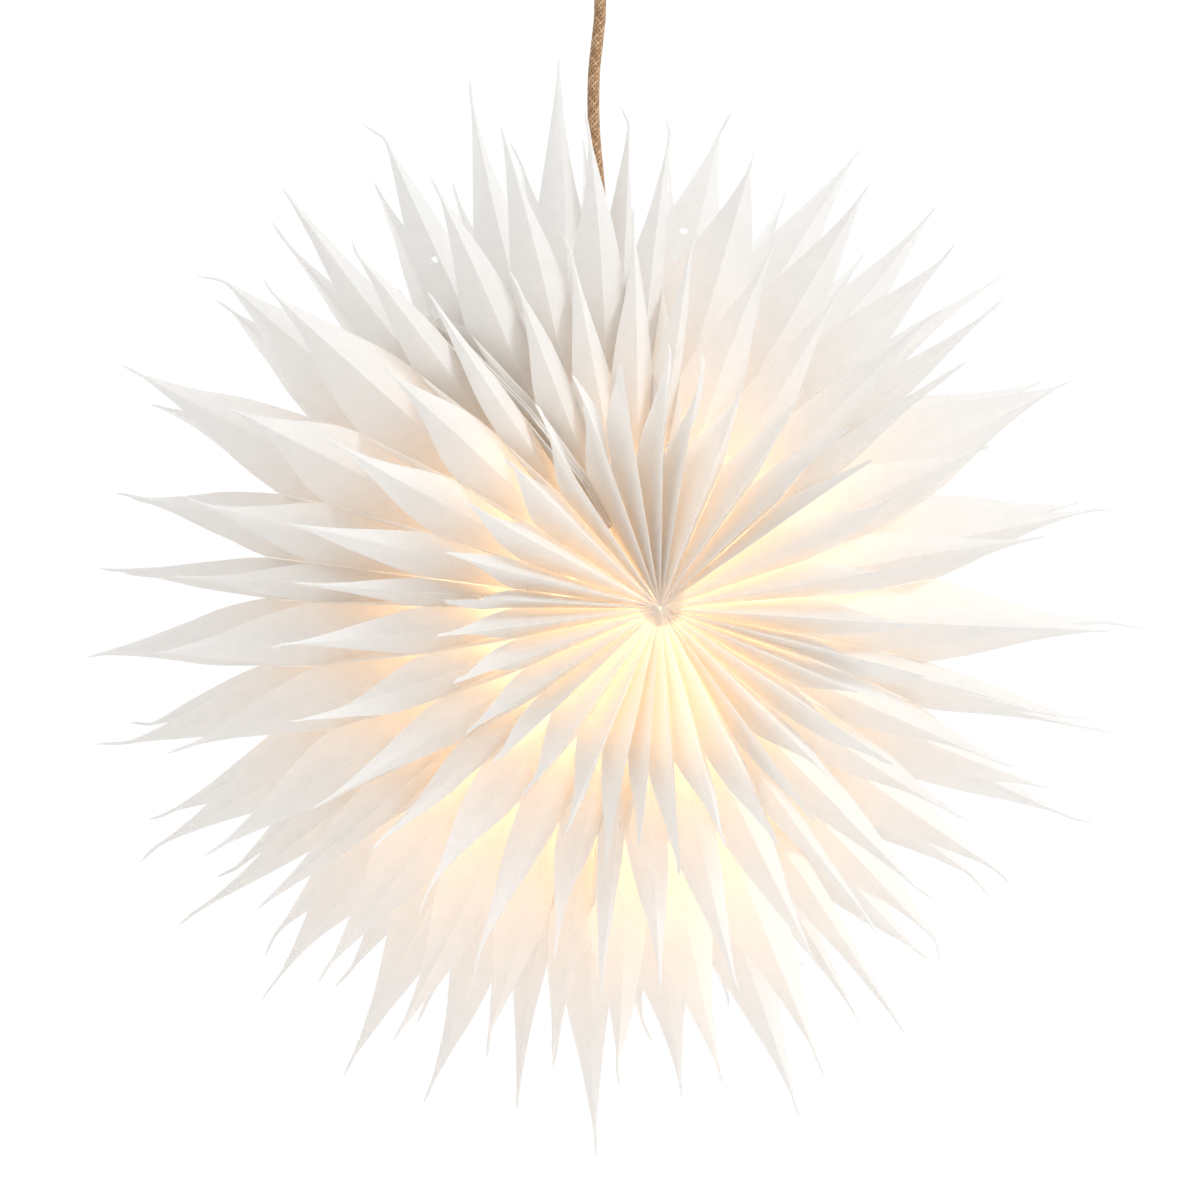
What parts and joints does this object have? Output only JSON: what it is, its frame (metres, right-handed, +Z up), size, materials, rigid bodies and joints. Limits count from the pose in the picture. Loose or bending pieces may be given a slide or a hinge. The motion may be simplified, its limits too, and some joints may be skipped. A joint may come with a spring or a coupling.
{
  "type": "paper snowflake star lantern",
  "caption": "Hanging paper star lantern of nested folded spikes that fans open round a glued spine, on a braided cord with a ceiling cup.",
  "frame": {"origin": "middle of the ceiling plate's top face, where the lantern is fastened to the ceiling", "axes": "+Z up, out of the ceiling plate; the star's own axis is along Y, with its front pole towards -Y"},
  "size_m": [0.6087, 0.4862, 0.7249],
  "materials": {
    "leaf_paper": "matt uncoated white paper, thin enough to glow when lit from inside",
    "board_card": "stiff white card, matt",
    "tie_thread": "twisted white cotton thread",
    "spine_glue": "glued paper fold edges",
    "cord_textile": "braided natural jute and linen over the cable",
    "white_plastic": "moulded white plastic, satin",
    "holder_ceramic": "unglazed white ceramic",
    "thread_metal": "pressed brass",
    "bulb_metal": "rolled aluminium thread",
    "bulb_plastic": "white gloss plastic",
    "bulb_glass": "frosted warm white globe, lit",
    "plate_steel": "zinc plated steel",
    "terminal_plastic": "translucent white polyamide",
    "cup_plastic": "moulded white plastic, satin"
  },
  "bodies": {
    "ceiling_plate": {"ceiling_plate": "plate_steel", "plate_screw_left": "plate_steel", "plate_screw_right": "plate_steel", "terminal_block": "terminal_plastic", "cord_clamp": "terminal_plastic"},
    "ceiling_cup": {"ceiling_cup": "cup_plastic", "cup_grip": "white_plastic", "cup_grip_screw": "plate_steel"},
    "star_core": {"cord": "cord_textile", "cord_grip": "white_plastic", "carrier_disc": "white_plastic", "holder_cap": "white_plastic", "holder_sleeve": "white_plastic", "contact_insert": "holder_ceramic", "thread_shell": "thread_metal", "spine_front": "spine_glue", "spine_rear": "spine_glue", "leaf_cw_01": "leaf_paper", "leaf_ccw_01": "leaf_paper"},
    "bulb": {"bulb_cap": "bulb_metal", "bulb_collar": "bulb_plastic", "bulb_globe": "bulb_glass"},
    "leaf_cw_02": {"leaf_cw_02": "leaf_paper"},
    "leaf_cw_03": {"leaf_cw_03": "leaf_paper"},
    "leaf_cw_04": {"leaf_cw_04": "leaf_paper"},
    "leaf_cw_05": {"leaf_cw_05": "leaf_paper"},
    "leaf_cw_06": {"leaf_cw_06": "leaf_paper"},
    "leaf_cw_07": {"leaf_cw_07": "leaf_paper"},
    "leaf_cw_08": {"leaf_cw_08": "leaf_paper"},
    "leaf_cw_09": {"leaf_cw_09": "leaf_paper"},
    "leaf_cw_10": {"leaf_cw_10": "leaf_paper"},
    "leaf_cw_11": {"leaf_cw_11": "leaf_paper"},
    "leaf_cw_12": {"leaf_cw_12": "leaf_paper"},
    "leaf_cw_13": {"leaf_cw_13": "leaf_paper"},
    "leaf_cw_14": {"leaf_cw_14": "leaf_paper"},
    "leaf_cw_15": {"leaf_cw_15": "leaf_paper"},
    "leaf_cw_16": {"leaf_cw_16": "leaf_paper"},
    "leaf_cw_17": {"leaf_cw_17": "leaf_paper"},
    "leaf_cw_18": {"leaf_cw_18": "leaf_paper"},
    "leaf_cw_19": {"leaf_cw_19": "leaf_paper"},
    "leaf_cw_20": {"leaf_cw_20": "leaf_paper"},
    "leaf_cw_21": {"leaf_cw_21": "leaf_paper"},
    "leaf_cw_22": {"leaf_cw_22": "leaf_paper"},
    "leaf_cw_23": {"leaf_cw_23": "leaf_paper"},
    "leaf_cw_24": {"leaf_cw_24": "leaf_paper"},
    "leaf_cw_25": {"leaf_cw_25": "leaf_paper"},
    "leaf_cw_26": {"leaf_cw_26": "leaf_paper"},
    "leaf_cw_27": {"leaf_cw_27": "leaf_paper"},
    "leaf_cw_28": {"leaf_cw_28": "leaf_paper"},
    "leaf_cw_29": {"leaf_cw_29": "leaf_paper"},
    "board_cw": {"board_cw": "board_card"},
    "leaf_ccw_02": {"leaf_ccw_02": "leaf_paper"},
    "leaf_ccw_03": {"leaf_ccw_03": "leaf_paper"},
    "board_ccw": {"board_ccw": "board_card", "seam_tie_front": "tie_thread", "seam_tie_rear": "tie_thread"}
  },
  "joints": [
    {"name": "cup_slides_down_cord", "type": "slide", "parent": "ceiling_plate", "child": "ceiling_cup", "axis": [0, 0, -1], "range_m": [0, 0.025]},
    {"name": "star_turns_on_cord", "type": "hinge", "parent": "ceiling_plate", "child": "star_core", "pos_m": [0, 0, -0.06], "axis": [0, 0, 1], "range_deg": [-180, 180], "stiffness_Nm_per_rad": 0.01},
    {"name": "bulb_unscrews", "type": "hinge", "parent": "star_core", "child": "bulb", "pos_m": [0, 0, -0.42], "axis": [0, 0, 1], "range_deg": [-360, 0]},
    {"name": "star_folds", "type": "hinge", "parent": "star_core", "child": "board_cw", "pos_m": [0, 0, -0.42], "axis": [0, -1, 0], "range_deg": [0, 287]},
    {"name": "fold_leaf_cw_02", "type": "hinge", "parent": "star_core", "child": "leaf_cw_02", "pos_m": [0, 0, -0.42], "axis": [0, -1, 0], "range_deg": [0, 12.02], "deforming": ["leaf_cw_02", "leaf_cw_01"]},
    {"name": "fold_leaf_cw_03", "type": "hinge", "parent": "star_core", "child": "leaf_cw_03", "pos_m": [0, 0, -0.42], "axis": [0, -1, 0], "range_deg": [0, 24.78], "deforming": ["leaf_cw_03"]},
    {"name": "fold_leaf_cw_04", "type": "hinge", "parent": "star_core", "child": "leaf_cw_04", "pos_m": [0, 0, -0.42], "axis": [0, -1, 0], "range_deg": [0, 35.78], "deforming": ["leaf_cw_04"]},
    {"name": "fold_leaf_cw_05", "type": "hinge", "parent": "star_core", "child": "leaf_cw_05", "pos_m": [0, 0, -0.42], "axis": [0, -1, 0], "range_deg": [0, 44.14], "deforming": ["leaf_cw_05"]},
    {"name": "fold_leaf_cw_06", "type": "hinge", "parent": "star_core", "child": "leaf_cw_06", "pos_m": [0, 0, -0.42], "axis": [0, -1, 0], "range_deg": [0, 54.7], "deforming": ["leaf_cw_06"]},
    {"name": "fold_leaf_cw_07", "type": "hinge", "parent": "star_core", "child": "leaf_cw_07", "pos_m": [0, 0, -0.42], "axis": [0, -1, 0], "range_deg": [0, 68.34], "deforming": ["leaf_cw_07"]},
    {"name": "fold_leaf_cw_08", "type": "hinge", "parent": "star_core", "child": "leaf_cw_08", "pos_m": [0, 0, -0.42], "axis": [0, -1, 0], "range_deg": [0, 81.1], "deforming": ["leaf_cw_08"]},
    {"name": "fold_leaf_cw_09", "type": "hinge", "parent": "star_core", "child": "leaf_cw_09", "pos_m": [0, 0, -0.42], "axis": [0, -1, 0], "range_deg": [0, 91.22], "deforming": ["leaf_cw_09"]},
    {"name": "fold_leaf_cw_10", "type": "hinge", "parent": "star_core", "child": "leaf_cw_10", "pos_m": [0, 0, -0.42], "axis": [0, -1, 0], "range_deg": [0, 99.8], "deforming": ["leaf_cw_10"]},
    {"name": "fold_leaf_cw_11", "type": "hinge", "parent": "star_core", "child": "leaf_cw_11", "pos_m": [0, 0, -0.42], "axis": [0, -1, 0], "range_deg": [0, 109.92], "deforming": ["leaf_cw_11"]},
    {"name": "fold_leaf_cw_12", "type": "hinge", "parent": "star_core", "child": "leaf_cw_12", "pos_m": [0, 0, -0.42], "axis": [0, -1, 0], "range_deg": [0, 120.26], "deforming": ["leaf_cw_12"]},
    {"name": "fold_leaf_cw_13", "type": "hinge", "parent": "star_core", "child": "leaf_cw_13", "pos_m": [0, 0, -0.42], "axis": [0, -1, 0], "range_deg": [0, 128.62], "deforming": ["leaf_cw_13"]},
    {"name": "fold_leaf_cw_14", "type": "hinge", "parent": "star_core", "child": "leaf_cw_14", "pos_m": [0, 0, -0.42], "axis": [0, -1, 0], "range_deg": [0, 137.42], "deforming": ["leaf_cw_14"]},
    {"name": "fold_leaf_cw_15", "type": "hinge", "parent": "star_core", "child": "leaf_cw_15", "pos_m": [0, 0, -0.42], "axis": [0, -1, 0], "range_deg": [0, 148.42], "deforming": ["leaf_cw_15"]},
    {"name": "fold_leaf_cw_16", "type": "hinge", "parent": "star_core", "child": "leaf_cw_16", "pos_m": [0, 0, -0.42], "axis": [0, -1, 0], "range_deg": [0, 158.54], "deforming": ["leaf_cw_16"]},
    {"name": "fold_leaf_cw_17", "type": "hinge", "parent": "star_core", "child": "leaf_cw_17", "pos_m": [0, 0, -0.42], "axis": [0, -1, 0], "range_deg": [0, 166.46], "deforming": ["leaf_cw_17"]},
    {"name": "fold_leaf_cw_18", "type": "hinge", "parent": "star_core", "child": "leaf_cw_18", "pos_m": [0, 0, -0.42], "axis": [0, -1, 0], "range_deg": [0, 173.94], "deforming": ["leaf_cw_18"]},
    {"name": "fold_leaf_cw_19", "type": "hinge", "parent": "star_core", "child": "leaf_cw_19", "pos_m": [0, 0, -0.42], "axis": [0, -1, 0], "range_deg": [0, 183.18], "deforming": ["leaf_cw_19"]},
    {"name": "fold_leaf_cw_20", "type": "hinge", "parent": "star_core", "child": "leaf_cw_20", "pos_m": [0, 0, -0.42], "axis": [0, -1, 0], "range_deg": [0, 193.74], "deforming": ["leaf_cw_20"]},
    {"name": "fold_leaf_cw_21", "type": "hinge", "parent": "star_core", "child": "leaf_cw_21", "pos_m": [0, 0, -0.42], "axis": [0, -1, 0], "range_deg": [0, 202.98], "deforming": ["leaf_cw_21"]},
    {"name": "fold_leaf_cw_22", "type": "hinge", "parent": "star_core", "child": "leaf_cw_22", "pos_m": [0, 0, -0.42], "axis": [0, -1, 0], "range_deg": [0, 211.56], "deforming": ["leaf_cw_22"]},
    {"name": "fold_leaf_cw_23", "type": "hinge", "parent": "star_core", "child": "leaf_cw_23", "pos_m": [0, 0, -0.42], "axis": [0, -1, 0], "range_deg": [0, 221.68], "deforming": ["leaf_cw_23"]},
    {"name": "fold_leaf_cw_24", "type": "hinge", "parent": "star_core", "child": "leaf_cw_24", "pos_m": [0, 0, -0.42], "axis": [0, -1, 0], "range_deg": [0, 231.8], "deforming": ["leaf_cw_24"]},
    {"name": "fold_leaf_cw_25", "type": "hinge", "parent": "star_core", "child": "leaf_cw_25", "pos_m": [0, 0, -0.42], "axis": [0, -1, 0], "range_deg": [0, 239.94], "deforming": ["leaf_cw_25"]},
    {"name": "fold_leaf_cw_26", "type": "hinge", "parent": "star_core", "child": "leaf_cw_26", "pos_m": [0, 0, -0.42], "axis": [0, -1, 0], "range_deg": [0, 247.86], "deforming": ["leaf_cw_26"]},
    {"name": "fold_leaf_cw_27", "type": "hinge", "parent": "star_core", "child": "leaf_cw_27", "pos_m": [0, 0, -0.42], "axis": [0, -1, 0], "range_deg": [0, 258.86], "deforming": ["leaf_cw_27"]},
    {"name": "fold_leaf_cw_28", "type": "hinge", "parent": "star_core", "child": "leaf_cw_28", "pos_m": [0, 0, -0.42], "axis": [0, -1, 0], "range_deg": [0, 271.62], "deforming": ["leaf_cw_28"]},
    {"name": "fold_leaf_cw_29", "type": "hinge", "parent": "star_core", "child": "leaf_cw_29", "pos_m": [0, 0, -0.42], "axis": [0, -1, 0], "range_deg": [0, 281.74], "deforming": ["leaf_cw_29"]},
    {"name": "fold_leaf_ccw_02", "type": "hinge", "parent": "star_core", "child": "leaf_ccw_02", "pos_m": [0, 0, -0.42], "axis": [0, 1, 0], "range_deg": [0, 12.46], "deforming": ["leaf_ccw_02", "leaf_ccw_01"]},
    {"name": "fold_leaf_ccw_03", "type": "hinge", "parent": "star_core", "child": "leaf_ccw_03", "pos_m": [0, 0, -0.42], "axis": [0, 1, 0], "range_deg": [0, 21.26], "deforming": ["leaf_ccw_03"]},
    {"name": "fold_board_ccw", "type": "hinge", "parent": "star_core", "child": "board_ccw", "pos_m": [0, 0, -0.42], "axis": [0, 1, 0], "range_deg": [0, 27.42], "deforming": ["seam_tie_front", "seam_tie_rear"]}
  ],
  "couplings": [
    {"joint": "fold_leaf_cw_02", "follows": "star_folds", "ratio": 0.041812},
    {"joint": "fold_leaf_cw_03", "follows": "star_folds", "ratio": 0.086272},
    {"joint": "fold_leaf_cw_04", "follows": "star_folds", "ratio": 0.1246},
    {"joint": "fold_leaf_cw_05", "follows": "star_folds", "ratio": 0.15373},
    {"joint": "fold_leaf_cw_06", "follows": "star_folds", "ratio": 0.19052},
    {"joint": "fold_leaf_cw_07", "follows": "star_folds", "ratio": 0.23805},
    {"joint": "fold_leaf_cw_08", "follows": "star_folds", "ratio": 0.28251},
    {"joint": "fold_leaf_cw_09", "follows": "star_folds", "ratio": 0.31777},
    {"joint": "fold_leaf_cw_10", "follows": "star_folds", "ratio": 0.34767},
    {"joint": "fold_leaf_cw_11", "follows": "star_folds", "ratio": 0.38293},
    {"joint": "fold_leaf_cw_12", "follows": "star_folds", "ratio": 0.41896},
    {"joint": "fold_leaf_cw_13", "follows": "star_folds", "ratio": 0.44808},
    {"joint": "fold_leaf_cw_14", "follows": "star_folds", "ratio": 0.47875},
    {"joint": "fold_leaf_cw_15", "follows": "star_folds", "ratio": 0.51707},
    {"joint": "fold_leaf_cw_16", "follows": "star_folds", "ratio": 0.55233},
    {"joint": "fold_leaf_cw_17", "follows": "star_folds", "ratio": 0.57993},
    {"joint": "fold_leaf_cw_18", "follows": "star_folds", "ratio": 0.60599},
    {"joint": "fold_leaf_cw_19", "follows": "star_folds", "ratio": 0.63819},
    {"joint": "fold_leaf_cw_20", "follows": "star_folds", "ratio": 0.67498},
    {"joint": "fold_leaf_cw_21", "follows": "star_folds", "ratio": 0.70718},
    {"joint": "fold_leaf_cw_22", "follows": "star_folds", "ratio": 0.73707},
    {"joint": "fold_leaf_cw_23", "follows": "star_folds", "ratio": 0.77233},
    {"joint": "fold_leaf_cw_24", "follows": "star_folds", "ratio": 0.8076},
    {"joint": "fold_leaf_cw_25", "follows": "star_folds", "ratio": 0.83596},
    {"joint": "fold_leaf_cw_26", "follows": "star_folds", "ratio": 0.86355},
    {"joint": "fold_leaf_cw_27", "follows": "star_folds", "ratio": 0.90188},
    {"joint": "fold_leaf_cw_28", "follows": "star_folds", "ratio": 0.94634},
    {"joint": "fold_leaf_cw_29", "follows": "star_folds", "ratio": 0.9816},
    {"joint": "fold_leaf_ccw_02", "follows": "star_folds", "ratio": 0.043345},
    {"joint": "fold_leaf_ccw_03", "follows": "star_folds", "ratio": 0.074007},
    {"joint": "fold_board_ccw", "follows": "star_folds", "ratio": 0.09547}
  ]
}
